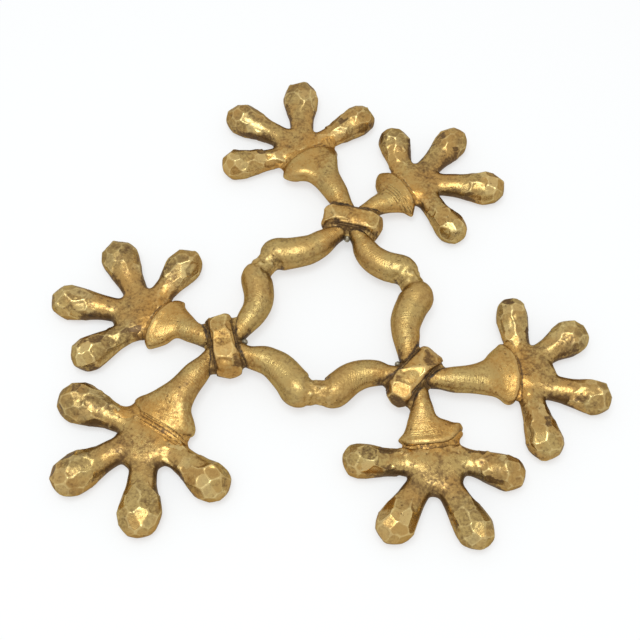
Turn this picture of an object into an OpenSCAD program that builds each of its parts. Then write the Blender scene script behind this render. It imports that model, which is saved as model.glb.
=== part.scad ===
// Trivet of three cast brass limbs that cross inside three hammered rings.
// Each limb is bent at its knee and ends in two cuffs, and each cuff holds a
// foot with four club toes. Millimetres, Z up, the table at Z = 0, and the
// origin below the middle of the footprint.

/* [Rings] */
// Mean distance between the middles of two rings
ring_pitch = 88; // [78:1:110]
// Width of a ring's band, measured along its hole
band_w = 13; // [9:0.5:16]
// Thickness of a ring's band at its crown
band_t = 2.8; // [2:0.1:4]
// Play between a ring and the two bars, at each side of its hole
ring_play = 0.9; // [0.2:0.1:2]
// Open butt seam on the underside of a ring
seam_gap = 0.5; // [0.3:0.1:1]
// Height of a ring's underside above the table
ring_lift = 0.5; // [0.3:0.1:1.5]

/* [Limbs] */
// Length of the longer ankle of a limb, from its crossing to its lip
long_ankle_l = 41; // [38:0.5:50]
// Length of the shorter ankle of a limb, from its crossing to its lip
short_ankle_l = 28.5; // [26:0.5:36]
// Radius of the round bar where two limbs cross
neck_r = 4.8; // [4:0.1:6]
// Radius of a leg where it is thickest
leg_r = 7.3; // [6:0.1:9]
// Radius of the pinch at the knee
knee_r = 4.9; // [3.5:0.1:6]
// Width of the flared cuff at an ankle
cuff_w = 31; // [26:0.5:36]
// Height of the top of a cuff above the table
cuff_top = 11.5; // [10:0.5:14]
// Height of a cuff's underside above the table
cuff_lift = 0.6; // [0.3:0.1:1.5]
// Thickness of the rounded lip of a cuff
lip_t = 2.4; // [1:0.1:3]
// How far the top of the lip reaches out over the foot
lip_reach = 3.5; // [0:0.1:4]

/* [Feet] */
// Distance from the middle of the palm to the middle of a toe's ball
toe_reach = 31; // [26:0.5:36]
// Radius of a toe's ball, seen from above
ball_r = 8.9; // [7:0.1:11]
// Height of a toe's ball
ball_h = 13.6; // [10:0.1:16]
// Radius of the narrow neck of a toe
toe_neck_r = 5.8; // [3.5:0.1:6.5]
// Height of the top of a toe's neck above the table
toe_neck_h = 9.6; // [7:0.1:11]
// Width of the palm
palm_w = 22; // [18:0.5:26]
// Height of the top of the palm above the table
palm_h = 9.4; // [7:0.1:10]
// Height of the palm's underside above the table
palm_lift = 0.8; // [0.3:0.1:1.5]
// Width of the tang that seats a foot in its cuff
tang_w = 17; // [12:0.5:18]
// Height of the tang
tang_h = 4.6; // [3:0.1:6]
// Length of the tang
tang_l = 5; // [3:0.5:6]

/* [Fit] */
// Clearance between two pieces that are brazed together
fit_gap = 0.15; // [0.1:0.05:0.3]
// Radius of the larger end of a lump of braze
braze_r = 0.9; // [0.6:0.1:1.6]

/* [Hidden] */

brass = [0.72, 0.56, 0.24];
dark_brass = [0.60, 0.46, 0.20];
pale_solder = [0.66, 0.62, 0.52];

// Faces round a limb and steps between two of its stations, and the hammered
// faces round a toe and round a palm
limb_sides = 14;
limb_steps = 2;
toe_sides = 10;
palm_sides = 14;

// Places of the three rings about the origin, as shares of the pitch: the
// trivet is put together by eye, so its triangle is not quite even
ring_places_shares = [[-0.005, 0.494], [-0.502, -0.400], [0.480, -0.380]];
ring_places = ring_places_shares * ring_pitch;
// A limb runs from its own ring, at its short ankle, to the next one
function next(i) = (i + 1) % 3;
function chord(i) = ring_places[i] - ring_places[next(i)];
function chord_turn(i) = atan2(chord(i)[1], chord(i)[0]);
// Length of each limb's chord
chords = [for (i = [0 : 2]) norm(chord(i))];

// Height of the bars' axis, set by the ring that closes round them
axis_z = ring_lift + band_t + 2 * fit_gap + neck_r;
// A leg is a little flatter than it is wide
leg_flat_share = 0.92;
leg_rise = leg_r * leg_flat_share;
// Level at which a cuff is widest, low above the table
cuff_level = cuff_lift + (cuff_top - cuff_lift) * 0.36;
// How far the palm begins before its cuff's mouth
palm_setback = 3 * fit_gap;
// Middle level of the palm and the tang, the width and height that are left at
// the tang's tip, and the palm's width where it leaves the cuff
tang_z = (palm_lift + palm_h) / 2 + fit_gap;
tang_taper_shares = [0.7, 0.8];
palm_root_share = 0.93;

// Directions of the bars at the two ends of each limb, about its chord, and
// of the mouth of each kind of cuff about its bar
short_turns = [-10, -16, -7.5];
long_turns = [181, 186.5, 184.5];
short_mouth_turns = [-8, -5, -4];
long_mouth_turns = [7.5, 7, 11.5];
// The short ankle of limb i crosses the long ankle of the limb before it
function before(i) = (i + 2) % 3;
function short_dir(i) = chord_turn(i) + short_turns[i];
function long_dir(i) = chord_turn(i) + long_turns[i];
function turn_between(a, b) = ((b - a) % 360 + 360) % 360;
cross_angles = [for (i = [0 : 2]) turn_between(short_dir(i), long_dir(before(i)))];
// Half the length of the flat halving lap on each bar in ring i, and how far
// each bar stays round and straight, to clear both edges of the ring
laps = [for (c = cross_angles) neck_r * (1 + cos(c)) / sin(c) + fit_gap];
lap_step = 2 * fit_gap;
sleeves = [for (c = cross_angles) band_w / 2 / cos(c / 2) + neck_r * tan(c / 2)];

// Stations of an ankle, from its lip to its ring. Each has its place along
// and to the left of the bar in shares of the ankle's length, and then the
// shares of neck, leg, knee and cuff that mix to its girth
long_ankle_shares = [
    [1.00, 0.109, 0.00, 0.00, 0.00, 0.97],
    [0.93, 0.088, 0.00, 0.06, 0.00, 0.86],
    [0.83, 0.048, 0.10, 0.42, 0.00, 0.39],
    [0.71, 0.030, 0.35, 0.40, 0.00, 0.18],
    [0.58, 0.014, 0.60, 0.34, 0.00, 0.07],
    [0.43, 0.000, 0.75, 0.32, 0.00, 0.00]];
short_ankle_shares = [
    [1.00, 0.040, 0.00, 0.00, 0.00, 0.97],
    [0.92, 0.018, 0.00, 0.10, 0.00, 0.78],
    [0.80, -0.025, 0.20, 0.18, 0.00, 0.41],
    [0.67, -0.015, 0.60, 0.13, 0.00, 0.15],
    [0.55, 0.005, 0.85, 0.08, 0.00, 0.03]];
// Each limb's two ankles: the width of the cuff, the length, and how far the
// lip leans to the left, as shares of the usual width and of the length. The
// lean fades quickly towards the ring
lean_power = 4;
short_cuff_shares = [[1.06, 1.02, 0.000], [1.00, 1.05, -0.012], [1.02, 0.97, 0.020]];
long_cuff_shares = [[1.09, 1.02, -0.046], [1.03, 0.99, 0.036], [1.08, 1.07, -0.004]];
// Stations of the two legs and the knee, along and outside the chord in
// shares of the chord's length, with the same shares of girth
leg_shares = [
    [-0.300, 0.012, 0.60, 0.41, 0.00, 0.00],
    [-0.245, 0.023, 0.25, 0.72, 0.00, 0.00],
    [-0.200, 0.045, 0.00, 0.95, 0.00, 0.00],
    [-0.160, 0.078, 0.00, 0.98, 0.00, 0.00],
    [-0.125, 0.122, 0.00, 1.02, 0.00, 0.00],
    [-0.095, 0.160, 0.00, 1.03, 0.00, 0.00],
    [-0.060, 0.176, 0.00, 0.45, 0.62, 0.00],
    [-0.015, 0.177, 0.00, 0.00, 1.06, 0.00],
    [0.030, 0.182, 0.00, 0.50, 0.55, 0.00],
    [0.065, 0.184, 0.00, 1.08, 0.00, 0.00],
    [0.095, 0.168, 0.00, 1.14, 0.00, 0.00],
    [0.125, 0.138, 0.00, 1.07, 0.00, 0.00],
    [0.165, 0.101, 0.00, 1.05, 0.00, 0.00],
    [0.210, 0.069, 0.00, 1.00, 0.00, 0.00],
    [0.255, 0.050, 0.20, 0.78, 0.00, 0.00],
    [0.300, 0.040, 0.45, 0.57, 0.00, 0.00]];
// The rounded lip beyond a cuff's last station: how far out, as a share of its
// thickness, its half width as a share of the cuff's width, the shares of the
// cuff's rise and fall, and the share of the reach that its top has there
lip_shares = [
    [0.55, 0.475, 0.98, 1.00, 0.6],
    [1.00, 0.41, 0.86, 0.90, 1.0]];
// How far each limb's legs bow out, as a share of those places, and how far
// its knee lies towards its short ankle, as a share of the chord
bow_shares = [0.94, 1.00, 0.99];
knee_shares = [0, -0.012, -0.024];

// Stations along a toe: the share of the way from its root to the middle of
// its ball, and the shares of the swell in width and in height from its neck's
// size to its ball's
toe_stations_shares = [
    [0, 0.45, -0.15], [0.30, 0.04, 0.00], [0.55, 0.20, 0.20], [0.78, 0.68, 0.68], [1.00, 1.00, 1.00]];
// Angles round the end of the ball at which its last sections lie
tip_angles = [35, 62, 82];
// How far a ball's squashed sphere would reach below the table before it is
// filed flat, as a share of the ball's height
filed_share = 0.17;

// Profile of the palm, a flat pebble: shares of its radius and of its height
pebble_shares = [[0.80, 0], [1.00, 0.40], [0.93, 0.75], [0.70, 1]];
// Hub of the toes' angles in shares of the palm's width from the mouth
hub_shares = [0.54, -0.04];
// Each foot has the place and the width of its palm in shares of the palm's
// width, and its toes from right to left, seen from the cuff. A toe has its
// root in shares of the palm's width, its ball's angle about the hub, and the
// shares of the toe reach and of the ball's radius
short_feet_shares = [
    [[0.53, 0.01, 1.12],
     [[0.46, -0.21, -94, 0.99, 0.88], [0.66, -0.04, -36, 1.08, 0.99],
      [0.58, 0.11, 25, 1.02, 0.95], [0.33, 0.24, 83, 0.92, 0.95]]],
    [[0.50, 0.06, 1.26],
     [[0.45, -0.25, -95, 0.96, 0.96], [0.56, -0.08, -33, 1.01, 1.04],
      [0.59, 0.09, 25, 1.11, 0.98], [0.38, 0.26, 78, 1.03, 0.96]]],
    [[0.56, -0.01, 1.18],
     [[0.43, -0.29, -101, 1.02, 0.87], [0.61, -0.17, -41, 0.98, 1.00],
      [0.65, 0.05, 23, 1.00, 0.96], [0.31, 0.26, 79, 0.98, 0.90]]]];
long_feet_shares = [
    [[0.54, 0.04, 1.20],
     [[0.31, -0.21, -90, 1.12, 1.11], [0.52, -0.17, -29, 1.04, 1.06],
      [0.63, 0.09, 35, 1.06, 1.09], [0.38, 0.37, 91, 1.14, 1.00]]],
    [[0.50, -0.04, 0.92],
     [[0.31, -0.30, -93, 1.04, 0.97], [0.51, -0.25, -29, 0.84, 0.93],
      [0.45, 0.26, 45, 0.80, 1.00], [0.24, 0.21, 102, 1.02, 0.87]]],
    [[0.44, -0.03, 1.20],
     [[0.29, -0.27, -97, 1.15, 0.98], [0.48, -0.18, -37, 1.00, 1.10],
      [0.54, -0.06, 26, 1.05, 1.00], [0.34, 0.17, 81, 1.04, 0.92]]]];

// Path round a ring, and the outline of its band in shares of its width and
// thickness: flat inside, crowned outside
ring_sides = 25;
// Direction of a band, about the middle of its V
band_turn = 2;
ring_square_share = 0.70;
band_outline_shares = [
    [-0.44, 0], [-0.5, 0.35], [-0.36, 0.82], [-0.14, 1],
    [0.14, 1], [0.36, 0.82], [0.5, 0.35], [0.44, 0]];

// Places of a limb's stations in its own frame: X along the chord, towards
// its short ankle, Y outwards, the origin at the middle of the chord. A bar
// at an end, 1 short or -1 long, leaves its crossing in the direction turn
function bar_row(i, end, turn, along, left, shares, wide_share) = [
    end * chords[i] / 2 + along * cos(turn) - left * sin(turn),
    along * sin(turn) + left * cos(turn),
    shares[2], shares[3], shares[4], shares[5], shares[5] * wide_share];
bar_share = [0, 0, 1, 0, 0, 0];
function ankle_rows(i, end, turn, usual_l, rows, cuff) =
    let (ankle_l = usual_l * cuff[1])
    [for (r = rows)
        let (left_share = r[1] + cuff[2] * pow(r[0], lean_power))
        bar_row(i, end, turn, r[0] * ankle_l, left_share * ankle_l, r, cuff[0])];
function leg_rows(i) = [
    for (r = leg_shares)
        [(r[0] + knee_shares[i]) * chords[i], r[1] * chords[i] * bow_shares[i],
         r[2], r[3], r[4], r[5], r[5]]];
function lap_rows(i, end, turn, places) = [
    for (along = places) bar_row(i, end, turn, along, 0, bar_share, 1)];

// One step of a smooth curve through four rows, at t between the middle two
function curve_step(a, b, c, d, t) =
    (2 * b + (c - a) * t + (2 * a - 5 * b + 4 * c - d) * t * t
     + (3 * b - a - 3 * c + d) * t * t * t) / 2;
function curve(rows) = [
    for (i = [0 : len(rows) - 2], s = [0 : limb_steps - 1])
        let (a = rows[max(i - 1, 0)], d = rows[min(i + 2, len(rows) - 1)])
        curve_step(a, rows[i], rows[i + 1], d, s / limb_steps),
    rows[len(rows) - 1]];

function long_stretch(i) =
    let (turn = long_turns[i], out = laps[next(i)] + lap_step)
    curve(concat(ankle_rows(i, -1, turn, long_ankle_l, long_ankle_shares, long_cuff_shares[i]),
                 lap_rows(i, -1, turn, [sleeves[next(i)], out])));
function leg_stretch(i) =
    let (from = laps[next(i)] + lap_step, to = laps[i] + lap_step)
    curve(concat(lap_rows(i, -1, long_turns[i], [-from, -sleeves[next(i)]]), leg_rows(i),
                 lap_rows(i, 1, short_turns[i], [-sleeves[i], -to])));
function short_stretch(i) =
    let (turn = short_turns[i], out = laps[i] + lap_step,
         ankle = ankle_rows(i, 1, turn, short_ankle_l, short_ankle_shares, short_cuff_shares[i]))
    curve(concat(lap_rows(i, 1, turn, [out, sleeves[i]]), reversed(ankle)));
function limb_rows(i) = concat(
    long_stretch(i),
    lap_rows(i, -1, long_turns[i], [laps[next(i)], -laps[next(i)]]),
    leg_stretch(i),
    lap_rows(i, 1, short_turns[i], [-laps[i], laps[i]]),
    short_stretch(i));
all_rows = [for (i = [0 : 2]) limb_rows(i)];

// Every limb has as many rows, with its laps at the same places in the list
first_long_lap = limb_steps * (len(long_ankle_shares) + 1) + 1;
first_short_lap = first_long_lap + 3 + limb_steps * (len(leg_shares) + 3);
first_leg_row = first_long_lap + 2 + 2 * limb_steps;
last_leg_row = first_short_lap - 1 - 2 * limb_steps;
last_row = len(all_rows[0]) - 1;

// Which half of the bar is left: 1 upper, -1 lower, 0 all of it
function lap_side(j) =
    (j == first_long_lap || j == first_long_lap + 1) ? 1
    : (j == first_short_lap || j == first_short_lap + 1) ? -1 : 0;

// Directions of the two mouths of limb i, out of the metal
function short_mouth_dir(i) = short_turns[i] + short_mouth_turns[i];
function long_mouth_dir(i) = long_turns[i] + long_mouth_turns[i];

// Direction of limb i at row j, towards the short ankle. On the legs it is
// taken over a station each way, so that a bend never folds the skin, and in
// the flare of a cuff it eases over to the direction of the mouth
function turn_reach(j) = (j >= first_leg_row && j <= last_leg_row) ? limb_steps : 1;
function row_turn(i, j) =
    let (mouth_turn = j < first_long_lap ? long_mouth_dir(i) - 180 : short_mouth_dir(i),
         before = all_rows[i][max(j - turn_reach(j), 0)],
         after = all_rows[i][min(j + turn_reach(j), last_row)],
         path_turn = atan2(after[1] - before[1], after[0] - before[0]))
    (j == 0 || j == last_row) ? mouth_turn
    : path_turn + (mouth_turn - path_turn) * min(max(all_rows[i][j][5], 0), 1);

// One closed section: middle, direction, half width, level where it is
// widest, rise above it, fall below it, overhang of its top, and lap side
function section(p, turn, half, level, rise, fall, reach, side) = [
    for (k = [0 : limb_sides - 1])
        let (a = 360 * k / limb_sides,
             across = half * cos(a),
             along = reach * max(sin(a), 0),
             z = level + (sin(a) > 0 ? rise : fall) * sin(a),
             cut_z = side < 0 ? min(z, axis_z - fit_gap / 2)
                   : side > 0 ? max(z, axis_z + fit_gap / 2) : z)
        [p[0] + along * cos(turn) - across * sin(turn),
         p[1] + along * sin(turn) + across * cos(turn), cut_z]];

function body_section(i, j) =
    let (r = all_rows[i][j],
         cuff_share = min(max(r[5], 0), 1),
         round_part = r[2] * neck_r + r[4] * knee_r)
    section(r, row_turn(i, j), round_part + r[3] * leg_r + r[6] * cuff_w / 2,
            axis_z + (cuff_level - axis_z) * cuff_share,
            round_part + r[3] * leg_rise + r[5] * (cuff_top - cuff_level),
            round_part + r[3] * leg_rise + r[5] * (cuff_level - cuff_lift), 0, lap_side(j));

// The mouth of a cuff from its outer edge inwards: two sections round the lip,
// the edge of the socket and its floor. Turn points out of the mouth, and
// facing is the direction that the sections are drawn in
function mouth_point(p, turn, out) = [p[0] + out * cos(turn), p[1] + out * sin(turn)];
function mouth_sections(p, turn, facing) =
    let (way = facing == turn ? 1 : -1,
         wide = p[6] * cuff_w,
         rise = cuff_top - cuff_level,
         fall = cuff_level - cuff_lift,
         socket_w = (tang_w / 2 + fit_gap) / cos(180 / limb_sides),
         socket_h = (tang_h / 2 + fit_gap) / cos(180 / limb_sides))
    concat(
        [for (s = lip_shares)
            section(mouth_point(p, turn, s[0] * lip_t), facing, s[1] * wide, cuff_level,
                    s[2] * rise, s[3] * fall, way * s[4] * lip_reach, 0)],
        [section(mouth_point(p, turn, lip_t), facing, socket_w, tang_z, socket_h, socket_h, 0, 0),
         section(mouth_point(p, turn, lip_t - tang_l - fit_gap), facing,
                 tang_taper_shares[0] * socket_w, tang_z,
                 tang_taper_shares[1] * socket_h, tang_taper_shares[1] * socket_h, 0, 0)]);
function reversed(list) = [for (i = [len(list) - 1 : -1 : 0]) list[i]];

function limb_sections(i) = concat(
    reversed(mouth_sections(all_rows[i][0], long_mouth_dir(i), long_mouth_dir(i) - 180)),
    [for (j = [0 : last_row]) body_section(i, j)],
    mouth_sections(all_rows[i][last_row], short_mouth_dir(i), short_mouth_dir(i)));

// Skin over closed sections that all have the same number of points
module skin(sections) {
    n = len(sections[0]);
    last = (len(sections) - 1) * n;
    sides = [for (i = [0 : len(sections) - 2], k = [0 : n - 1])
        let (a = i * n + k, b = i * n + (k + 1) % n, c = b + n, d = a + n)
        each [[a, c, b], [a, d, c]]];
    first_cap = [for (k = [1 : n - 2]) [0, k, k + 1]];
    last_cap = [for (k = [1 : n - 2]) [last, last + k + 1, last + k]];
    polyhedron([for (s = sections) each s], concat(sides, first_cap, last_cap));
}

// Puts what is drawn in a limb's own frame in its place
module at_limb(i) {
    middle = (ring_places[i] + ring_places[next(i)]) / 2;
    translate([middle[0], middle[1], 0])
        rotate([0, 0, chord_turn(i)])
            children();
}

// Puts what is drawn in a ring's own frame in its place: Y along the middle
// of the V that the two ankles make, the origin below the crossing
module at_ring(i) {
    translate([ring_places[i][0], ring_places[i][1], 0])
        rotate([0, 0, short_dir(i) + cross_angles[i] / 2 - 90])
            children();
}

// Puts what is drawn in a foot's own frame in its place: X out of the mouth
module at_mouth(i, row, dir) {
    p = mouth_point(all_rows[i][row], dir, lip_t);
    at_limb(i) translate([p[0], p[1], 0]) rotate([0, 0, dir]) children();
}

module short_foot(i) {
    at_mouth(i, last_row, short_mouth_dir(i)) foot(short_feet_shares[i], short_cuff_shares[i][0]);
}

module long_foot(i) {
    at_mouth(i, 0, long_mouth_dir(i)) foot(long_feet_shares[i], long_cuff_shares[i][0]);
}

module limb(i) {
    color(brass) at_limb(i) skin(limb_sections(i));
}

// One section of a toe that lies along X: a squashed circle between two
// heights, filed flat at the table. Every other one is turned by half a face
function toe_section(along, half, low, high, turn_share) = [
    for (k = [0 : toe_sides - 1])
        let (a = 360 * (k + turn_share) / toe_sides)
        [along, half * cos(a), max(0, (high + low) / 2 + (high - low) / 2 * sin(a))]];

// Sections of a toe whose ball is a way from its root and has radius r
function toe_sections(way, r) =
    let (stretch = [for (j = [0 : len(toe_stations_shares) - 1])
             let (swell = toe_stations_shares[j][2])
             toe_section(toe_stations_shares[j][0] * way,
                         toe_neck_r + (r - toe_neck_r) * toe_stations_shares[j][1],
                         palm_lift + (-filed_share * ball_h - palm_lift) * swell,
                         toe_neck_h + (ball_h - toe_neck_h) * swell,
                         j % 2 / 2)],
         middle = (1 - filed_share) * ball_h / 2,
         rise = (1 + filed_share) * ball_h / 2)
    concat(stretch, [for (j = [0 : len(tip_angles) - 1])
        let (a = tip_angles[j])
        toe_section(way + r * sin(a), r * cos(a), middle - rise * cos(a),
                    middle + rise * cos(a), (j + 1) % 2 / 2)]);

// Toe from its root to its ball, in convex stretches between two sections
module toe(root, ball, r) {
    along = ball - root;
    sections = toe_sections(norm(along), r);
    translate([root[0], root[1], 0])
        rotate([0, 0, atan2(along[1], along[0])])
            for (j = [0 : len(sections) - 2])
                hull() skin([sections[j], sections[j + 1]]);
}

// Flat slice of the foot's root, square to X
module root_slice(x, width, height, z) {
    translate([x, 0, z]) rotate([90, 0, 90])
        linear_extrude(fit_gap) scale([width / 2, height / 2]) circle(r = 1, $fn = palm_sides);
}

// Room that the cuff and its overhanging lip take up at the root of a foot
module lip_room(wide_share) {
    edge = lip_shares[len(lip_shares) - 1];
    half = wide_share * cuff_w / 2 + fit_gap;
    skin([for (x = [-tang_l, fit_gap])
        section([x, 0], 0, half, cuff_level, edge[2] * (cuff_top - cuff_level), cuff_level,
                edge[4] * lip_reach, 0)]);
}

// A foot drawn from its cuff's mouth, X outwards
module foot(shares, wide_share) {
    palm = shares[0] * palm_w;
    palm_z = (palm_lift + palm_h) / 2;
    hub = hub_shares * palm_w;
    color(dark_brass) {
        difference() {
            union() {
                hull() {
                    root_slice(palm_setback, palm_root_share * palm_w, palm_h - palm_lift, palm_z);
                    translate([palm[0], palm[1], palm_lift])
                        scale([palm[2] / 2, palm[2] / 2, palm_h - palm_lift])
                            rotate_extrude($fn = palm_sides)
                                polygon(concat([[0, 0]], pebble_shares, [[0, 1]]));
                }
                for (k = [0 : 3]) {
                    share = shares[1][k];
                    reach = share[3] * toe_reach;
                    toe([share[0], share[1]] * palm_w,
                        hub + reach * [cos(share[2]), sin(share[2])], share[4] * ball_r);
                }
            }
            lip_room(wide_share);
        }
        hull() {
            root_slice(palm_setback + fit_gap, tang_w, tang_h, tang_z);
            root_slice(-tang_l, tang_taper_shares[0] * tang_w, tang_taper_shares[1] * tang_h, tang_z);
        }
    }
}

// Half the length and half the height of a ring's hole, which clears the
// spread bars at both edges of the band
function ring_in_x(i) =
    let (v_half = cross_angles[i] / 2) band_w / 2 * tan(v_half) + neck_r / cos(v_half) + fit_gap + ring_play;
ring_in_z = neck_r + 2 * fit_gap;

// Point on the ring's path: a rounded oval with half axes rx and rz
function oval(rx, rz, a) =
    [rx * sign(cos(a)) * pow(abs(cos(a)), ring_square_share),
     rz * sign(sin(a)) * pow(abs(sin(a)), ring_square_share)];

module ring(i) {
    seam_half = asin(seam_gap / 2 / ring_in_x(i));
    start = -90 + seam_half;
    sweep = 360 - 2 * seam_half;
    sections = [for (k = [0 : ring_sides])
        let (a = start + sweep * k / ring_sides)
        [for (s = band_outline_shares)
            let (q = oval(ring_in_x(i) + s[1] * band_t, ring_in_z + s[1] * band_t, a))
            [q[0], s[0] * band_w, axis_z + q[1]]]];
    color(brass) at_ring(i) rotate([0, 0, band_turn]) skin(sections);
}

// Lump of braze in the inner V between the crossing bars. A ball of radius r
// touches both bars at this distance from the crossing
function braze_seat(i, r) = (neck_r + r + fit_gap) / sin(cross_angles[i] / 2);
module braze(i) {
    color(pale_solder) at_ring(i)
        hull()
            for (r = [braze_r / 3, braze_r])
                translate([0, -braze_seat(i, r), axis_z]) scale([1, 1, 1.5]) sphere(r = r, $fn = 8);
}

limb(0);  // limb_1
limb(1);  // limb_2
limb(2);  // limb_3
short_foot(0);  // short_foot_1
short_foot(1);  // short_foot_2
short_foot(2);  // short_foot_3
long_foot(0);  // long_foot_1
long_foot(1);  // long_foot_2
long_foot(2);  // long_foot_3
ring(0);  // ring_1
ring(1);  // ring_2
ring(2);  // ring_3
braze(0);  // braze_1
braze(1);  // braze_2
braze(2);  // braze_3
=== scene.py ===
# %% [markdown]
# A trivet of aged brass
#
# Three thick brass bars are bent at a knee and cross in pairs inside three
# hammered rings. Each bar ends in two flared cuffs, and out of each cuff comes
# a foot with four club toes. The model of its pieces is loaded first, at its
# real size in metres, and nothing here moves it: every casting is a finer
# skin over the piece that it stands for.

# %% Load the pieces
import math

import bmesh
import bpy
import numpy as np
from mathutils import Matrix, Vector
from mathutils.bvhtree import BVHTree


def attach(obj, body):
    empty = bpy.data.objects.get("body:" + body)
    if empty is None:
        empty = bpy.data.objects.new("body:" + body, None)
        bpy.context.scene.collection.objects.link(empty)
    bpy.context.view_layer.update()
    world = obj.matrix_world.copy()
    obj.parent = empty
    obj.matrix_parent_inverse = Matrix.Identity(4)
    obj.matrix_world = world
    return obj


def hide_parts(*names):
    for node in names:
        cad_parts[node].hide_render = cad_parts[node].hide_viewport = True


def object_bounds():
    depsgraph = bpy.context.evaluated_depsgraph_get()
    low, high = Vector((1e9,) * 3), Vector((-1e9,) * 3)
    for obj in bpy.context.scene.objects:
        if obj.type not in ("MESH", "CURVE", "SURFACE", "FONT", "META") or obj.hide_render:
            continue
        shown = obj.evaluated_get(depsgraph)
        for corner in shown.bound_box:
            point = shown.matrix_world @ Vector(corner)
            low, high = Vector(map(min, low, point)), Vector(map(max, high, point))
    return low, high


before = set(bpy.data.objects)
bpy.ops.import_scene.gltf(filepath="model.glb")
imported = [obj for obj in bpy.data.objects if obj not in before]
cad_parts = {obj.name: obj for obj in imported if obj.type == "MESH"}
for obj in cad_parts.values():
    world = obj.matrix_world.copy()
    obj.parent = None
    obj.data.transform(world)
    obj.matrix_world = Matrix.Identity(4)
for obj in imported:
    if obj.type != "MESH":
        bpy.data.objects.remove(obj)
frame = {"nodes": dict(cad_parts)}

MM = 0.001
cad_low, cad_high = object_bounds()
nodes = frame["nodes"]
feet = sorted(name for name in nodes if "foot" in name)
limbs = sorted(name for name in nodes if name.startswith("limb"))
rings = sorted(name for name in nodes if name.startswith("ring"))
brazes = sorted(name for name in nodes if name.startswith("braze"))
for names in (limbs, feet, rings, brazes):
    print("loaded:", ", ".join(names))
print("box in mm:", [round((b - a) / MM, 1) for a, b in zip(cad_low, cad_high)])

# %% [markdown]
# The camera
#
# The photograph looks down at the trivet at about 60 degrees, from a little to
# the right. A camera is easiest to place with two points, where it stands and
# what it looks at. The lens was worked out from how the far rings shrink.

# %% Camera
camera_place = Vector((41.52, -235.55, 398.0)) * MM
camera_target = Vector((-5.53, -8.35, 0.0)) * MM
lens_mm = 55.37
sensor_mm = 36


def aim(thing, place, target):
    """Puts a camera or a lamp in the scene at a place, so that it looks at a target."""
    thing.location = place
    thing.rotation_mode = "QUATERNION"
    thing.rotation_quaternion = (target - place).to_track_quat("-Z", "Y")
    bpy.context.scene.collection.objects.link(thing)


camera_data = bpy.data.cameras.new("camera")
camera_data.lens = lens_mm
camera_data.sensor_width = sensor_mm
camera_data.clip_start = 10 * MM
camera = bpy.data.objects.new("camera", camera_data)
aim(camera, camera_place, camera_target)
bpy.context.scene.camera = camera
print("camera at", round((camera_target - camera_place).length / MM), "mm")

# %% [markdown]
# Meshes as tables
#
# The largest castings have some 45 thousand vertices, and every one of them is
# moved and marked. Copied to numpy they are a table with a row for each vertex,
# so that a sum over all of them is one short line and takes a moment.

# %% Tables
def rows_of(items, name, width, kind=np.float32):
    """One row of numbers for each of the vertices or edges of a mesh."""
    values = np.empty(len(items) * width, kind)
    items.foreach_get(name, values)
    return values.reshape(-1, width)


def places(mesh):
    return rows_of(mesh.vertices, "co", 3).astype(float)


def normals(mesh):
    return rows_of(mesh.vertices, "normal", 3).astype(float)


def edge_pairs(mesh):
    return rows_of(mesh.edges, "vertices", 2, np.int32)


def level_distance(skin, place):
    """How far each vertex lies from a place, seen from above."""
    return np.linalg.norm(skin[:, :2] - place[:2], axis=1)


ring_middles = [places(nodes[name].data).mean(axis=0) for name in rings]
print("middles of the rings in mm:", [list(np.round(middle / MM)) for middle in ring_middles])

# %% [markdown]
# A fine even skin
#
# The loaded pieces have few, large faces. A casting needs small even ones
# before it can be smoothed and hammered. Subdividing would keep the long thin
# triangles, so a voxel remesh lays even squares over a joined copy instead.

# %% Even skin
cell = 0.5 * MM
joined_within = 0.01 * MM


def joined_copy(node):
    """The shape of a node, with the corners of its loose triangles joined."""
    shape = bmesh.new()
    shape.from_mesh(nodes[node].data)
    bmesh.ops.remove_doubles(shape, verts=shape.verts, dist=joined_within)
    return shape


def even_skin(shape, side):
    """The same closed shape in squares of one size."""
    mesh = bpy.data.meshes.new("rough")
    shape.to_mesh(mesh)
    shape.free()
    rough = bpy.data.objects.new("rough", mesh)
    bpy.context.scene.collection.objects.link(rough)
    remesh = rough.modifiers.new("Even skin", "REMESH")
    remesh.mode = "VOXEL"
    remesh.voxel_size = side
    even = bmesh.new()
    even.from_object(rough, bpy.context.evaluated_depsgraph_get())
    bpy.data.objects.remove(rough)
    bpy.data.meshes.remove(mesh)
    return even


def relax(shape, rounds):
    """Smooths a shape: each vertex goes half the way to its neighbours, again and again."""
    for _ in range(rounds):
        bmesh.ops.smooth_vert(
            shape, verts=shape.verts, factor=0.5,
            use_axis_x=True, use_axis_y=True, use_axis_z=True)


print("squares of the skin in mm:", cell / MM)

# %% [markdown]
# Hammering
#
# The toes and rings are planished: each blow of the hammer leaves a small flat
# facet, and the facets meet at crisp edges. So each blow is a plane, laid flat
# on the round skin, and every vertex goes to the lowest plane over it. Blows
# are scattered by throwing darts, which keeps them some millimetres apart
# without lining them up.

# %% Hammer blows
most_darts = 9000
# of the spacing between blows: the skin that a blow lies flat on, the rim where its plane
# turns up, and how far it is looked at
blow_heart, blow_rim, blow_end = 0.4, 0.8, 1.6
# of the shave of a blow: how far in and how far out it may move the skin
deepest, highest = 1.6, 2.4
rim_slope = 0.45
blow_tilt = 0.13
least_facing = 0.4
untouched = 9.0


def scattered(skin, where, spacing, rng):
    """Numbers of vertices that lie about a spacing apart, among those marked in where."""
    darts = rng.permutation(np.flatnonzero(where))[:most_darts]
    kept = []
    for dart in darts:
        gap = spacing * rng.uniform(0.8, 1.15)
        if not kept or np.linalg.norm(skin[kept] - skin[dart], axis=1).min() > gap:
            kept.append(dart)
    return kept


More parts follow.
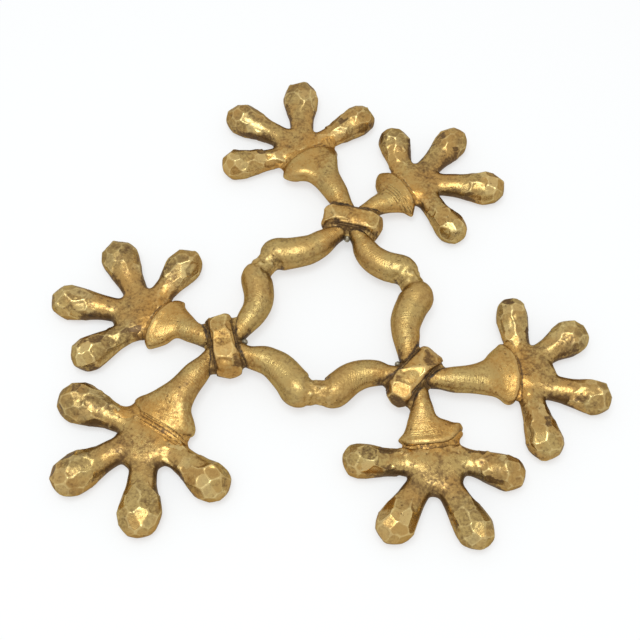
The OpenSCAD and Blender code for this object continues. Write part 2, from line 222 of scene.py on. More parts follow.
def planished(skin, facing, force, spacing, shave, rng):
    """Skin with flat facets hammered into it, and the tone of the facet at each vertex.

    The force of the blows goes from 0 to 1 over the skin, and no blow falls where it is 0.
    """
    lowest = np.full(len(skin), untouched)
    tone = np.full(len(skin), 0.5)
    for spot in scattered(skin, force > 0, spacing, rng):
        away = np.linalg.norm(skin - skin[spot], axis=1)
        near = np.flatnonzero(away < spacing * blow_end)
        flat = facing[near[away[near] < spacing * blow_heart]].mean(axis=0)
        flat += rng.normal(size=3) * blow_tilt
        flat /= np.linalg.norm(flat)
        near = near[facing[near] @ flat > least_facing]
        depth = shave * rng.uniform(0.5, 1.5)
        rise = ((skin[spot] - skin[near]) @ flat - depth) / (facing[near] @ flat)
        rise += rim_slope * np.clip(away[near] - blow_rim * spacing, 0, None)
        lower = rise < lowest[near]
        lowest[near[lower]] = rise[lower]
        tone[near[lower]] = rng.uniform(0, 1)
    step = np.clip(lowest, -deepest * shave, highest * shave)
    step = np.where(lowest < untouched, step, 0)
    return skin + facing * (step * force)[:, None], 0.5 + (tone - 0.5) * force


print("a blow tilts by about", round(math.degrees(blow_tilt)), "degrees")

# %% [markdown]
# What the patina and the painted shade need to know
#
# Old brass is dark where a cloth can't reach and bright where hands rub it. So
# each vertex gets a few numbers that the material reads: how hollow the
# surface is there, how near the next piece lies, and how much of the view is
# closed in by other brass. A vertex is in a hollow when it lies under the
# average of its neighbourhood. How closed in it is comes from five short rays,
# one straight out and four aslant, and it darkens the colour partly as grime
# and partly as painted shade.

# %% Hollows, seams and shelter
def softened(values, edges, rounds):
    """Values averaged over the edges of the mesh, again and again."""
    count = np.bincount(edges.ravel(), minlength=len(values)).astype(float)
    for _ in range(rounds):
        total = np.zeros_like(values)
        for axis in range(values.shape[1]):
            total[:, axis] = (
                np.bincount(edges[:, 0], values[edges[:, 1], axis], len(values))
                + np.bincount(edges[:, 1], values[edges[:, 0], axis], len(values)))
        values = total / count[:, None]
    return values


def search_tree(names):
    """A tree that finds the nearest place or a hit of a ray on the named pieces."""
    corners, faces = [], []
    for name in names:
        thing, first = nodes[name], len(corners)
        corners += [v.co.copy() for v in thing.data.vertices]
        faces += [[first + k for k in f.vertices] for f in thing.data.polygons]
    return BVHTree.FromPolygons(corners, faces)


def gaps_to(names, skin, farthest):
    """How far each vertex lies from the named pieces, up to a farthest distance."""
    tree = search_tree(names)
    gaps = [tree.find_nearest(place, farthest)[3] for place in skin.tolist()]
    return np.array([farthest if gap is None else gap for gap in gaps])


all_brass = search_tree(nodes)
shelter_reach = 15 * MM
shelter_rounds = 6
ray_lift = 1.0 * MM
ray_slant = 1.1
slants = [(0, 0), (1, 0), (-1, 0), (0, 1), (0, -1)]


def shelter(skin, facing, edges):
    """The share of rays from each vertex that soon hit brass again."""
    side = np.cross(facing, [0.31, 0.52, 0.79])
    side /= np.linalg.norm(side, axis=1)[:, None] + 1e-9
    other = np.cross(facing, side)
    starts = (skin + facing * ray_lift).tolist()
    closed = np.zeros(len(skin))
    for across, along in slants:
        rays = facing + (side * across + other * along) * ray_slant
        rays /= np.linalg.norm(rays, axis=1)[:, None]
        hits = (all_brass.ray_cast(a, b, shelter_reach) for a, b in zip(starts, rays.tolist()))
        closed += [hit[3] is not None for hit in hits]
    return softened(closed[:, None] / len(slants), edges, shelter_rounds)[:, 0]


print("short rays from each vertex:", len(slants))

# %% [markdown]
# Marks with places of their own
#
# Some marks follow no rule. A coarse file left strokes on two cuffs, and
# tarnish lies in clouds that no formula would put where they are; some of the
# dark spots, on the far toes, are painted shade instead. A texture
# could be painted, but two short tables of round places are enough: each is a
# soft spot that fades with the distance. The palms and the bars near the rings
# differ a little from the rest, so each vertex also knows how near those are.

# %% Marks by place
# the ends of the middle stroke of the file, in mm
filed_places = [((13, 66), (28, 55)), ((-72, -76), (-50, -84))]
filed_half_width = 2.8
filed_above = 6 * MM
# where the brass is more tarnished, or painted darker as shade on some far toes, or rubbed
# brighter: x, y and width in mm, and how much
tarnish_and_shade_places = [
    (-53, -68, 10, 0.5), (-87, -35, 9, 0.7), (58, -80, 9, 0.6), (-94, -74, 12, 0.5),
    (39, 104, 10, 0.4), (-68, 100, 10, 0.5), (-43, 119, 10, 0.5), (-56, -96, 8, 0.5),
    (12, 99, 9, 0.3), (81, 11, 8, 0.3), (106, -1, 9, 0.3), (-73, 3, 9, 0.4),
    (-110, 1, 9, 0.3), (-90, -108, 9, 0.2), (-12, 101, 8, 0.3),
    (29, -35, 8, 0.4), (47, -53, 8, 0.4), (-1, 39, 6, 0.3), (-13, 78, 6, 0.3),
    (-60, -115, 8, -0.4), (27, -77, 10, -0.5), (51, -99, 8, -0.4), (-102, -50, 8, -0.3),
    (-64, 63, 8, -0.4), (60, 71, 8, -0.4), (47, 46, 8, -0.4), (-29, 71, 6, -0.5),
    (20, 62, 7, -0.4), (-68, -30, 6, -0.4), (-10, -52, 6, -0.4), (79, -29, 6, -0.4),
    (100, -53, 8, -0.3)]
palm_width = 15 * MM


def file_marks(skin):
    """Where the brass was filed, and how far across the strokes each vertex lies, in mm."""
    filed, nearest = np.zeros(len(skin)), np.zeros(len(skin))
    for stroke in filed_places:
        start, end = (np.array(point) * MM for point in stroke)
        length = np.linalg.norm(end - start)
        along = (end - start) / length
        from_middle = skin[:, :2] - (start + end) / 2
        across = from_middle @ [-along[1], along[0]] / MM
        reach = np.abs(from_middle @ along) / length * 2
        here = np.exp(-reach ** 6) * np.exp(-(across / filed_half_width) ** 6)
        here *= skin[:, 2] > filed_above
        nearest = np.where(here > filed, across, nearest)
        filed = np.maximum(here, filed)
    return filed, nearest


def tarnish_and_shade(skin):
    """How tarnished the brass is, with painted shade on some far toes: dark above 0, and rubbed
    bright below.
    """
    total = np.zeros(len(skin))
    for x, y, width, amount in tarnish_and_shade_places:
        away = level_distance(skin, np.array([x, y]) * MM)
        total += amount * np.exp(-(away / (width * MM)) ** 2)
    return total


def palm(node, skin):
    """1 on the palm of a foot and 0 elsewhere."""
    away = level_distance(skin, skin.mean(axis=0))
    return np.exp(-(away / palm_width) ** 4) * (node in feet)


print("places of tarnish:", len(tarnish_and_shade_places), "and of the file:", len(filed_places))

# %% [markdown]
# All marks together
#
# A number at each vertex is an attribute of the mesh. The material reads it by
# its name, and it stays with the piece wherever the piece goes.

# %% Marks for the patina and the painted shade
hollow_rounds, hollow_depth = 60, 0.5 * MM
ridge_rounds, ridge_height = 5, 0.05 * MM
seam_width = 1.6 * MM
seam_end = 24 * MM


def mark_patina_and_shade(mesh, node, tone, up):
    """Stores at each vertex of a casting what its material needs to know."""
    skin, facing, edges = places(mesh), normals(mesh), edge_pairs(mesh)
    hollow = softened(skin, edges, hollow_rounds) - skin
    ridge = skin - softened(skin, edges, ridge_rounds)
    gaps = gaps_to([name for name in nodes if name != node], skin, seam_end)
    filed, across_file = file_marks(skin)
    marks = {
        "hollow": (hollow * facing).sum(axis=1) / hollow_depth,
        "ridge": (ridge * facing).sum(axis=1) / ridge_height,
        "seam": np.exp(-gaps / seam_width),
        "shelter": shelter(skin, facing, edges),
        "tone": tone,
        "up": up,
        "from_ring": np.min([level_distance(skin, m) for m in ring_middles], axis=0) / MM,
        "tarnish_and_shade": tarnish_and_shade(skin),
        "palm": palm(node, skin),
        "filed": filed,
        "across_file": across_file}
    for name, values in marks.items():
        layer = mesh.attributes.new(name, "FLOAT", "POINT")
        layer.data.foreach_set("value", np.asarray(values, np.float32))


# %% [markdown]
# Casting a piece
#
# Every casting goes through the same bench: joined copy, even skin, smoothing,
# a slight wobble from the mould, hammer blows where it has them, and the marks
# for its patina and painted shade. What differs is passed in. Smoothing shrinks
# a round shape a little, so the skin is pushed out again by what it lost.

# %% Casting
headroom = 0.4 * MM


def waves(skin, count, shortest, longest, rng):
    """Bumps of about 1: a sum of waves in all directions, with lengths in mm."""
    height = np.zeros(len(skin))
    for _ in range(count):
        wave = rng.normal(size=3)
        wave *= 2 * math.pi / (rng.uniform(shortest, longest) * MM) / np.linalg.norm(wave)
        height += np.sin(skin @ wave + rng.uniform(0, 2 * math.pi))
    return height / count ** 0.5


def cast(node, rounds, regain, wobble, work=None, shape=None, seed=0):
    """One casting in place of a node. Its work is what hands did to it after the mould.

    With a shape of its own, the casting is one more piece and replaces nothing.
    """
    rng = np.random.default_rng(seed)
    casting = even_skin(joined_copy(node), cell) if shape is None else shape
    relax(casting, rounds)
    mesh = bpy.data.meshes.new(node + "_casting")
    casting.to_mesh(mesh)
    casting.free()
    skin, facing = places(mesh), normals(mesh)
    # a mould of sand leaves slow bumps of about a hair
    slow = waves(skin, count=14, shortest=9, longest=26, rng=rng)
    skin += facing * (regain + wobble * slow)[:, None]
    tone = np.full(len(skin), 0.5)
    if work:
        skin, tone = work(skin, facing, rng)
    skin[:, 2] = np.clip(skin[:, 2], 0, cad_high[2] + headroom)
    mesh.vertices.foreach_set("co", skin.astype(np.float32).ravel())
    mesh.polygons.foreach_set("use_smooth", np.ones(len(mesh.polygons), bool))
    mesh.update()
    mark_patina_and_shade(mesh, node, tone, facing[:, 2])
    piece = bpy.data.objects.new(node + "_casting", mesh)
    bpy.context.scene.collection.objects.link(piece)
    if shape is None:
        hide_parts(node)
    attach(piece, "root")
    print(node, "vertices:", len(mesh.vertices), "top in mm:", round(skin[:, 2].max() / MM, 2))
    return piece


# %% [markdown]
# Knees
#
# A limb is smooth: it was filed and rubbed, and only the sand of the mould
# still shows as a slow wobble. Its knee is different. There the two legs were
# joined with a lump of braze, which was left rough, with a crease on each side.
# The knee lies between the rings at the ends of the limb, some way outside the
# line that joins them.

# %% Knees
knee_along_shares = [-0.02, -0.032, -0.044]
knee_out_share = 0.177
knee_reach = 11 * MM
crease_place, crease_width = 3.6 * MM, 1.5 * MM
lumps_reach = 5 * MM
# how far the knee is pressed in and stands out, in mm
crease_depth, lump_height = 0.35, 0.26


def knee_place(k):
    """Middle of the knee of limb k, between ring k and the ring after it."""
    start, end = ring_middles[(k + 1) % 3][:2], ring_middles[k][:2]
    chord = end - start
    out = np.array([-chord[1], chord[0]])
    return (start + end) / 2 + chord * knee_along_shares[k] + out * knee_out_share


def knee_pinch(k, skin, rng):
    """How far the knee of limb k stands out: two creases, and rough lumps between them."""
    chord = ring_middles[k][:2] - ring_middles[(k + 1) % 3][:2]
    along = np.abs((skin[:, :2] - knee_place(k)) @ chord) / np.linalg.norm(chord)
    near = np.exp(-(level_distance(skin, knee_place(k)) / knee_reach) ** 6)
    creases = np.exp(-((along - crease_place) / crease_width) ** 2)
    rough = np.exp(-(along / lumps_reach) ** 4)
    lumps = waves(skin, count=16, shortest=2.4, longest=5.5, rng=rng)
    return near * (lumps * rough * lump_height - creases * crease_depth) * MM


print("knees in mm:", [list(np.round(knee_place(k) / MM)) for k in range(3)])

# %% [markdown]
# Cuffs
#
# Four of the cuffs end in a bead round the lip, which follows the foot that it
# holds, so the distance to the foot gives the bead its place. The other two
# run into their feet without one. Some cuffs were also shaped by hand in the
# wax, where a thumb pulled them up into lobes. A tug does the same, and fades
# with the distance from where it grips.

# %% Cuffs
beadless = ("long_foot_1", "long_foot_3")
# from the foot, in mm: the place, width and height of the bead, and of the dip behind it
bead_place, bead_width, bead_height = 1.6, 1.5, 0.50
dip_place, dip_width, dip_depth = 5.8, 2.4, 0.30
lip_reach = 12 * MM
# for each limb: where a thumb gripped, how far it pulled, and how wide, in mm
tugs = [
    [((17, 63), (0, 0, 1.2), 7)],
    [],
    [((-32, 67), (-0.5, -0.5, 2.6), 7.5), ((-17, 80), (0.5, 0.5, 1.8), 5),
     ((-23, 70), (0, 0, -0.8), 4.5), ((67, -56), (-1.5, 3.2, 1.6), 5)]]
grip_height = 7 * MM


def lip_bead(k, skin):
    """How far the cuffs of limb k stand out: a bead round each lip, and a dip behind it."""
    out = np.zeros(len(skin))
    for foot in ("short_foot_%d" % (k + 1), "long_foot_%d" % (k + 1)):
        if foot not in beadless:
            gaps = gaps_to([foot], skin, lip_reach) / MM
            bead = np.exp(-((gaps - bead_place) / bead_width) ** 2)
            dip = np.exp(-((gaps - dip_place) / dip_width) ** 2)
            out += (bead * bead_height - dip * dip_depth) * MM
    return out


def tugged(k, skin):
    """The skin of limb k, pulled where a thumb gripped it and kept where it lies low."""
    for place, pull, width in tugs[k]:
        away = level_distance(skin, np.array(place) * MM)
        grip = np.exp(-(away / (width * MM)) ** 2) * np.clip(skin[:, 2] / grip_height, 0, 1)
        skin = skin + grip[:, None] * np.array(pull) * MM
    return skin


print("thumb marks on each limb:", [len(places_of_limb) for places_of_limb in tugs])

# %% [markdown]
# Limbs
#
# A limb is cast with the work on its knee and cuffs. The function that does
# that work is made for each limb, because the bench passes it only the skin,
# the way it faces and the random numbers.

# %% Limbs
def limb_work(k):
    """The work on limb k: a rough knee, beads round its lips, and lobes on its cuffs."""
    def work(skin, facing, rng):
        out = knee_pinch(k, skin, rng) + lip_bead(k, skin)
        return tugged(k, skin + facing * out[:, None]), np.full(len(skin), 0.5)
    return work


limb_pieces = [
    cast(node, rounds=14, regain=0.10 * MM, wobble=0.10 * MM,
         work=limb_work(k), seed=10 + k)
    for k, node in enumerate(limbs)]

# %% [markdown]
# Feet
#
# The toes are hammered all round, in facets of 4 to 5 mm, and the palm is left
# as it was cast. The blows start softly where the toes leave the palm, and are
# lighter on the flanks, where a hammer from above only glances off.

# %% Feet
palm_reach, toe_fade = 10 * MM, 8 * MM
hammered_above = 1 * MM
flank_force = 0.45


def toe_blows(skin, facing, rng):
    """The work on a foot: blows on its toes, and none on its palm."""
    away = level_distance(skin, skin.mean(axis=0))
    force = np.clip((away - palm_reach) / toe_fade, 0, 1) * (skin[:, 2] > hammered_above)
    force *= flank_force + (1 - flank_force) * np.clip(facing[:, 2] * 1.6, 0, 1)
    return planished(skin, facing, force, spacing=4.3 * MM, shave=0.27 * MM, rng=rng)


foot_pieces = [
    cast(node, rounds=44, regain=0.25 * MM, wobble=0.12 * MM,
         work=toe_blows, seed=20 + k)
    for k, node in enumerate(feet)]

# %% [markdown]
# Rings and brazes
#
# A ring is a band with a rounded back, hammered round the crossing in broader
# facets. The braze is a small dull lump in the inner corner of each crossing.
# Only the outside of a band can be hammered, and that is where the skin faces
# away from the middle of the ring.

# %% Rings and brazes
ring_half_width = 6.5 * MM
outside_from = 4 * MM
# how far the back of a ring stands out in its middle, and falls at its edges, in mm
crown_middle, crown_fall = 0.05, 0.75


def thin_axis(points):
    """The direction in which points spread least, as along the axis of a ring."""
    return np.linalg.svd(points - points.mean(axis=0), full_matrices=False)[2][2]


def ring_blows(skin, facing, rng):
    """The work on a ring: a rounded back, and blows all over it."""
    from_middle = skin - skin.mean(axis=0)
    outside = ((from_middle * facing).sum(axis=1) > outside_from).astype(float)
    across = np.clip(from_middle @ thin_axis(skin) / ring_half_width, -1, 1)
    crown = (crown_middle - across ** 2 * crown_fall) * MM
    rounded = skin + facing * (outside * crown)[:, None]
    return planished(rounded, facing, outside, spacing=5.6 * MM, shave=0.25 * MM, rng=rng)


ring_pieces = [
    cast(node, rounds=16, regain=0.10 * MM, wobble=0.10 * MM,
         work=ring_blows, seed=36 + k)
    for k, node in enumerate(rings)]
braze_pieces = [
    cast(node, rounds=3, regain=0.8 * MM, wobble=0.10 * MM, seed=40 + k)
    for k, node in enumerate(brazes)]

# %% [markdown]
# Runs of solder
#
# Solder also ran into every gap between ring and bars, and under the lips of
# the cuffs. To get that shape, the pieces are thickened until they touch, and
# then thinned again by a little more: what is left lies just inside them, but
# fills the corners. The run at a cuff without a bead is wider, and blends the
# cuff into its foot.

# %% Closing a gap
spare_reach = 6 * MM
joining_cell, closing_cell = 0.8 * MM, 0.7 * MM


def keep_within(shape, middle, reaches):
    """Cuts off what lies further from the middle than a reach, both ways, and closes the cuts."""
    for direction, reach in reaches:
        for way in (1, -1):
            everything = shape.verts[:] + shape.edges[:] + shape.faces[:]
            bmesh.ops.bisect_plane(
                shape, geom=everything, plane_co=middle + direction * reach * way,
                plane_no=direction * way, clear_outer=True)
    open_edges = [edge for edge in shape.edges if edge.is_boundary]
    bmesh.ops.holes_fill(shape, edges=open_edges, sides=0)
    bmesh.ops.triangulate(shape, faces=[face for face in shape.faces if len(face.verts) > 4])


def thicken(shape, by):
    """Moves the skin of a shape outwards, or inwards by an amount below 0."""
    shape.normal_update()
    for vertex in shape.verts:
        vertex.co += vertex.normal * by


def solder_run(parts, middle, axis, gap, sink, along, across):
    """What fills the corners between the parts, within two reaches of a middle."""
    run = bmesh.new()
    for node in parts:
        part = bpy.data.meshes.new("part")
        copy = joined_copy(node)
        copy.to_mesh(part)
        copy.free()
        run.from_mesh(part)
        bpy.data.meshes.remove(part)
    middle, axis = Vector(middle), Vector(axis)
    side = axis.cross(Vector((0, 0, 1))).normalized()
    run = even_skin(run, joining_cell)
    keep_within(run, middle, [(axis, along + spare_reach), (side, across + spare_reach)])
    thicken(run, gap)
    run = even_skin(run, closing_cell)
    relax(run, rounds=4)
    thicken(run, -gap - sink)
    keep_within(run, middle, [(axis, along), (side, across)])
    return even_skin(run, cell)


# %% [markdown]
# The runs in their places
#
# A run in a ring is cut square to the bars, so it needs the axis of the ring.
# A run at a cuff needs the mouth of the cuff, which is where the foot touches
# it, and the way the foot points from there.

# %% Runs of solder
touching_within = 1 * MM


def ring_run(k):
    """The solder round the crossing in ring k."""
    axis = thin_axis(places(nodes[rings[k]].data))
    return solder_run(
        [limbs[k], limbs[(k + 2) % 3], rings[k], brazes[k]], ring_middles[k], axis,
        gap=2.4 * MM, sink=1.0 * MM, along=11 * MM, across=19 * MM)


def mouth_of(limb, foot):
    """Where a foot leaves the cuff of its limb, and the level direction in which it does."""
    corners = places(nodes[foot].data)
    touching = gaps_to([limb], corners, touching_within) < touching_within
    middle = corners[touching].mean(axis=0)
    axis = (corners.mean(axis=0) - middle) * [1, 1, 0]
    return middle, axis / np.linalg.norm(axis)


def cuff_run(foot):
    """The solder where a foot leaves its cuff."""
    limb = limbs[int(foot[-1]) - 1]
    middle, axis = mouth_of(limb, foot)
    gap, sink = (3.0 * MM, 0.2 * MM) if foot in beadless else (1.2 * MM, 0.5 * MM)
    return solder_run([limb, foot], middle, axis, gap, sink, along=9 * MM, across=20 * MM)


ring_runs = [
    cast("ring_run_%d" % (k + 1), rounds=3, regain=0, wobble=0.08 * MM,
         shape=ring_run(k), seed=50 + k)
    for k in range(3)]
cuff_runs = [
    cast(foot.replace("foot", "cuff_run"), rounds=3, regain=0, wobble=0.08 * MM,
         shape=cuff_run(foot), seed=60 + k)
    for k, foot in enumerate(feet)]

# %% [markdown]
# Shader maths as Python
#
# A material is a sum of masks. Written as expressions they read like one, so a
# small class wraps a socket: arithmetic on it adds Math nodes, and one method
# adds any other node.

# %% Wires
class Wire:
    """An output of a shader node, which takes part in arithmetic."""

    def __init__(self, tree, socket=None):
        self.tree = tree
        self.socket = socket

    def node(self, kind, settings=None, inputs=None, output=0):
        """Adds a node, with its settings first, and returns one of its outputs."""
        made = self.tree.nodes.new(kind)
        for name, value in (settings or {}).items():
            setattr(made, name, value)
        for name, value in (inputs or {}).items():
            if isinstance(value, Wire):
                self.tree.links.new(value.socket, made.inputs[name])
            else:
                made.inputs[name].default_value = value
        return Wire(self.tree, made.outputs[output] if made.outputs else None)

    def math(self, operation, *values):
        inputs = dict(enumerate(values))
        return self.node("ShaderNodeMath", {"operation": operation}, inputs)

    def __add__(self, other):
        return self.math("ADD", self, other)

    def __radd__(self, other):
        return self.math("ADD", other, self)

    def __sub__(self, other):
        return self.math("SUBTRACT", self, other)

    def __rsub__(self, other):
        return self.math("SUBTRACT", other, self)

    def __mul__(self, other):
        return self.math("MULTIPLY", self, other)

    def __rmul__(self, other):
        return self.math("MULTIPLY", other, self)

    def rise(self, low, high):
        """0 below low, 1 above high, and a smooth rise between."""
        return self.node(
            "ShaderNodeMapRange", {"interpolation_type": "SMOOTHSTEP"},
            {"Value": self, "From Min": low, "From Max": high})

    def mix(self, low, high):
        """The colour low where this is 0, and high where it is 1."""
        return self.node(
            "ShaderNodeMix", {"data_type": "RGBA"},
            {0: self, 6: low, 7: high}, output=2)

    def noise(self, coords, scale, detail=2.0, rough=0.5):
        return self.node(
            "ShaderNodeTexNoise", None,
            {"Vector": coords, "Scale": scale, "Detail": detail, "Roughness": rough})

    def mark(self, name):
        """A number that was stored at the vertices."""
        return self.node("ShaderNodeAttribute", {"attribute_name": name}, output="Fac")


def wire_into(owner):
    """Clears the nodes of a material or a world, and returns a wire to build new ones with."""
    owner.use_nodes = True
    owner.node_tree.nodes.clear()
    return Wire(owner.node_tree)


def colour(red, green, blue):
    """A colour as it is seen in a picture, from 0 to 255, for a shader."""
    shares = [v / 255 for v in (red, green, blue)]
    return [v / 12.92 if v < 0.04045 else ((v + 0.055) / 1.055) ** 2.4 for v in shares] + [1]


# %% [markdown]
# Aged brass
#
# Gilt brass that has been handled for decades: a warm gold, browner in every
# hollow and seam, paler on worn edges. Its steep flanks and undersides are
# painted darker and warmer, as shade. Tarnish takes the
# shine off metal that is seen aslant, which a tint for its edges does, and a
# thin coat over it all stands for old wax and the grease of hands.

# %% Colours
gold = colour(179, 153, 94)
pale_gold = colour(228, 206, 144)
olive = colour(143, 118, 72)
tan_tint_and_shade = colour(176, 134, 72)
amber = colour(190, 132, 50)
brown_dirt_and_shade = colour(84, 59, 33)
soot_and_shade = colour(40, 28, 19)
edge_tint = (0.50, 0.41, 0.29, 1)
wax_weight, wax_roughness = 0.22, 0.30
print("gold as a shader takes it:", [round(share, 3) for share in gold])

# %% [markdown]
# Scratches and pits
#
# A file was drawn across each bar, and its strokes show as fine lines round the
# bar beside the rings. Noise that is squeezed along one direction makes lines,
# so here it reads the distance from the ring instead of a place. The two
# filed cuffs have coarser grooves in rows, which a sine makes, and small
# pits lie where the mottle is dark.

# %% Strokes, grooves and pits
def file_strokes(w, from_ring, patches, mottle):
    """Fine lines round the bars beside the rings, about 0 on average."""
    lines = w.node(
        "ShaderNodeCombineXYZ", None,
        {"X": from_ring * 2.0, "Y": patches * 3.0, "Z": mottle * 0.6})
    return (w.noise(lines, 1.0, 2) - 0.5) * (1 - from_ring.rise(20, 36))


def file_grooves(w, patches, mottle):
    """1 in the coarse grooves of the filed cuffs, and 0 elsewhere."""
    rows = w.math("SINE", w.mark("across_file") * 4.2 + patches * 3.0)
    return rows.rise(0.2, 1.0) * w.mark("filed") * (mottle + 0.5).rise(0.35, 0.55)


def small_pits(w, coords, mottle):
    """1 in the middle of scattered round pits, and 0 elsewhere."""
    dots = w.node(
        "ShaderNodeTexVoronoi", None, {"Vector": coords, "Scale": 420.0}, output="Distance")
    return (1 - dots.rise(0.12, 0.24)) * mottle.rise(-0.02, 0.10)


# %% [markdown]
# One formula for the brass
#
# Most of the patina, and the painted shade, is one formula, and the finishes
# differ only in a few amounts. First come marks and noise, then the masks that
# say where the brass is dull, dark, black or worn, and then the colours are laid
# over each other, the broadest first. The dark and black masks hold painted
# shade as well as grime. Noise goes into each of these masks, so that no edge
# between two colours is a clean line.

# %% Brass
def aged_brass(name, dull, grime, flank_shade, seams, warm, rough, grain, filing=0.0):
    """Brass with its amounts of dullness, grime, painted shade on its flanks, dirt in seams, and
    warmth.

    The roughness is that of rubbed brass, the grain is how deep its sand and scratches go, and
    the filing is how strongly the strokes of the file show near the rings.
    """
    material = bpy.data.materials.new(name)
    w = wire_into(material)
    coords = w.node("ShaderNodeTexCoord", output="Object")
    hollow, ridge, closed = w.mark("hollow"), w.mark("ridge"), w.mark("shelter")
    tone, up, from_ring = w.mark("tone"), w.mark("up"), w.mark("from_ring")
    seam, tarnish_and_shade_spots, palms = w.mark("seam"), w.mark("tarnish_and_shade"), w.mark("palm")
    patches = w.noise(coords, 75, 4) - 0.5
    mottle = w.noise(coords, 330, 4, 0.6) - 0.5
    specks = w.noise(coords, 820, 3, 0.6) - 0.5
    sand = w.noise(coords, 1900, 2, 0.6) - 0.5
    strokes = file_strokes(w, from_ring, patches, mottle)
    grooves = file_grooves(w, patches, mottle)
    pits = small_pits(w, coords, mottle)

    # the lips of the cuffs were wiped cleaner than the rings
    dirt = seam * (1 - from_ring.rise(20, 32) * 0.6) * seams
    # painted shade: where the skin faces sideways or down it is darker, and its flanks warmer
    painted_flank_shade = (0.65 - up).rise(0.0, 0.75)
    painted_under_shade = (0.20 - up).rise(0.0, 0.40)
    # painted shade, with some grime: darker where short rays from the skin soon hit brass again
    pocket_grime_and_shade = closed.rise(0.04, 0.30) * (0.7 * seams + 0.3)
    near_ring = 1 - from_ring.rise(14, 28)
    darkest_facets = (0.05 - tone).rise(0.0, 0.01)
    dark_facets = (0.35 - tone).rise(0.0, 0.35)
    pale_facets = tone.rise(0.60, 0.95)

    dullness = patches * 2.0 + mottle * 2.2 + specks * 3.2 + tarnish_and_shade_spots * 0.8 + dull
    # the dark mask is grime, and painted shade from the flanks, undersides, closed-in corners and
    # some far toes
    dark_grime_and_shade = hollow * 0.25 + pocket_grime_and_shade * 1.0 + painted_flank_shade * flank_shade + mottle * 1.6 + patches * 1.4
    # tarnish, and painted shade on some far toes
    dark_grime_and_shade = dark_grime_and_shade + darkest_facets * 0.5 + tarnish_and_shade_spots * 0.5 + palms * 0.22
    dark_grime_and_shade = dark_grime_and_shade + near_ring * 0.12 + dark_facets * 0.3
    dark_grime_and_shade = (dark_grime_and_shade + specks * 1.7 + dirt + painted_under_shade * 0.10 + grime).rise(0.2, 1.1)
    black_grime_and_shade = (dirt + pocket_grime_and_shade * 0.6 + hollow * 0.2 + mottle * 1.6 + specks).rise(0.45, 1.0)
    worn = (ridge * 0.35 - pocket_grime_and_shade * 0.5 + mottle * 1.2).rise(0.3, 1.2)
    blush = (w.math("POWER", seam, 0.14) * 1.1 + patches * 1.5 + specks * 1.2).rise(0.3, 1.1)
    clouds = w.noise(coords, 60, 3).rise(0.42, 0.62)

    base = dullness.rise(0.0, 1.0).mix(gold, olive)
    # tan on the palms and in clouds, and on the flanks as painted shade
    base = ((palms * 0.5 + painted_flank_shade * 0.6 + clouds * 1.2) * warm).mix(base, tan_tint_and_shade)
    base = (worn * 0.35 + pale_facets * 0.3).mix(base, pale_gold)
    base = (blush * warm).mix(base, amber)
    # brown and soot lay both grime and painted shade
    base = (dark_grime_and_shade * 0.85).mix(base, brown_dirt_and_shade)
    base = (black_grime_and_shade * 0.9).mix(base, soot_and_shade)
    base = (pits * 0.6 + grooves * 0.45).mix(base, brown_dirt_and_shade)

    roughness = dullness.rise(0.2, 1.0) * 0.12 + dark_grime_and_shade * 0.16 + black_grime_and_shade * 0.2 + sand * 0.2 + rough
    metallic = 1 - dark_grime_and_shade * 0.25 - black_grime_and_shade * 0.45
    bumps = sand * 0.6 + specks * 0.8 + mottle * 0.8 + strokes * filing - pits * 1.0 - grooves * 2.5
    normal = w.node(
        "ShaderNodeBump", None, {"Height": bumps, "Strength": 1.0, "Distance": grain})
    shader = w.node(
        "ShaderNodeBsdfPrincipled", None,
        {"Base Color": base, "Roughness": roughness, "Metallic": metallic, "Normal": normal,
         "Specular Tint": edge_tint, "Coat Weight": wax_weight, "Coat Roughness": wax_roughness})
    w.node("ShaderNodeOutputMaterial", None, {"Surface": shader})
    return material


# %% [markdown]
# Five finishes
#
# The toes are rubbed to the brightest shine. The bars are duller and have the
# darkest seams, and the rings are a little duller still. The runs are solder
# that flowed into corners: dark and rough in the rings, and warmer at the cuffs.

# %% Finishes
def finish(pieces, material):
    """Gives pieces their material."""
    for piece in pieces:
        piece.data.materials.append(material)
    print(material.name, "on", len(pieces), "pieces")


finish(limb_pieces, aged_brass(
    "smooth_brass", dull=0.35, grime=0.08, flank_shade=0.05, seams=0.9, warm=0.35, rough=0.31,
    grain=0.16 * MM, filing=1.8))
finish(foot_pieces, aged_brass(
    "toe_brass", dull=0.60, grime=0.25, flank_shade=0.12, seams=0.8, warm=0.45, rough=0.24,
    grain=0.06 * MM))
finish(ring_pieces, aged_brass(
    "band_brass", dull=0.50, grime=0.04, flank_shade=0.10, seams=0.7, warm=0.40, rough=0.34,
    grain=0.07 * MM))
finish(ring_runs, aged_brass(
    "run_brass", dull=0.70, grime=0.42, flank_shade=0.20, seams=0.15, warm=0.20, rough=0.40,
    grain=0.20 * MM))
finish(cuff_runs, aged_brass(
    "cuff_brass", dull=0.50, grime=0.30, flank_shade=0.10, seams=0.25, warm=0.50, rough=0.34,
    grain=0.16 * MM))

# %% [markdown]
# Braze
#
# The solder in the inner corner is paler and greyer than the brass, with a
# grainy skin, because nobody can rub it there.

# %% Solder
dark_solder = colour(118, 108, 88)
pale_solder = colour(176, 168, 146)


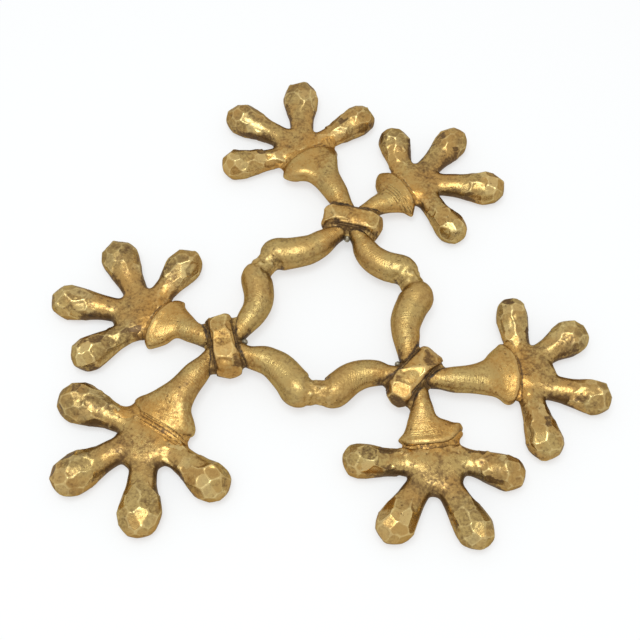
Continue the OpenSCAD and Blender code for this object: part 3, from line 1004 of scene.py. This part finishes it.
def dull_solder():
    material = bpy.data.materials.new("dull_solder")
    w = wire_into(material)
    coords = w.node("ShaderNodeTexCoord", output="Object")
    grains = w.noise(coords, 900, 3)
    base = grains.rise(0.35, 0.65).mix(dark_solder, pale_solder)
    normal = w.node(
        "ShaderNodeBump", None, {"Height": grains, "Strength": 1.0, "Distance": 0.2 * MM})
    shader = w.node(
        "ShaderNodeBsdfPrincipled", None,
        {"Base Color": base, "Roughness": grains * 0.3 + 0.35, "Metallic": 0.8, "Normal": normal})
    w.node("ShaderNodeOutputMaterial", None, {"Surface": shader})
    return material


finish(braze_pieces, dull_solder())

# %% [markdown]
# Table and light
#
# The photograph was taken on a white table under one broad lamp, nearly
# overhead. The table is a plain white sheet that keeps the soft shadow. It
# glows a little for the camera and for the metal, as paper lit from below
# does, which makes the shadow as faint as the real one. The room is white
# wherever the camera or the metal looks, and dimmer as a light, so that lamp
# and room together light a white surface to white.

# %% Table and light
white = (1, 1, 1, 1)
paper_white = (0.93, 0.93, 0.93, 1)
table_half_side = 3
lamp_place = Vector((-0.06, -0.14, 1.0))
lamp_target = Vector((0, 0, 0))
lamp_colour = (0.87, 0.96, 1.0)


def looked_at(w):
    """1 for rays from the camera or off metal, and 0 for rays that only carry light."""
    kinds = ("Is Camera Ray", "Is Glossy Ray", "Is Transmission Ray")
    camera_ray, glossy_ray, through_ray = [
        w.node("ShaderNodeLightPath", output=kind) for kind in kinds]
    return w.math("MINIMUM", camera_ray + glossy_ray + through_ray, 1.0)


def table_top(glow):
    """A white sheet under the trivet, with a share of it that glows where it is looked at."""
    sheet = bmesh.new()
    bmesh.ops.create_grid(sheet, x_segments=1, y_segments=1, size=table_half_side)
    mesh = bpy.data.meshes.new("table")
    sheet.to_mesh(mesh)
    sheet.free()
    material = bpy.data.materials.new("white_table")
    w = wire_into(material)
    paper = w.node("ShaderNodeBsdfDiffuse", None, {"Color": paper_white})
    light = w.node("ShaderNodeEmission", None, {"Color": white, "Strength": 1.0})
    surface = w.node("ShaderNodeMixShader", None, {0: looked_at(w) * glow, 1: paper, 2: light})
    w.node("ShaderNodeOutputMaterial", None, {"Surface": surface})
    mesh.materials.append(material)
    table = bpy.data.objects.new("table", mesh)
    bpy.context.scene.collection.objects.link(table)


def white_room(fill):
    """White for the camera and for reflections, and a dimmer white as a light."""
    world = bpy.data.worlds.new("room")
    bpy.context.scene.world = world
    w = wire_into(world)
    strength = looked_at(w) * (1 - fill) + fill
    background = w.node("ShaderNodeBackground", None, {"Color": white, "Strength": strength})
    w.node("ShaderNodeOutputWorld", None, {"Surface": background})


def overhead_lamp(size, watts):
    """One round lamp over the table."""
    data = bpy.data.lights.new("overhead", "AREA")
    data.shape = "DISK"
    data.size = size
    data.color = lamp_colour
    data.energy = watts
    aim(bpy.data.objects.new("overhead", data), lamp_place, lamp_target)


table_top(glow=0.6)
white_room(fill=0.70)
overhead_lamp(size=0.60, watts=4.75)
bpy.context.scene.view_settings.view_transform = "Standard"
print("lamp in mm over the table:", round(lamp_place.z / MM))
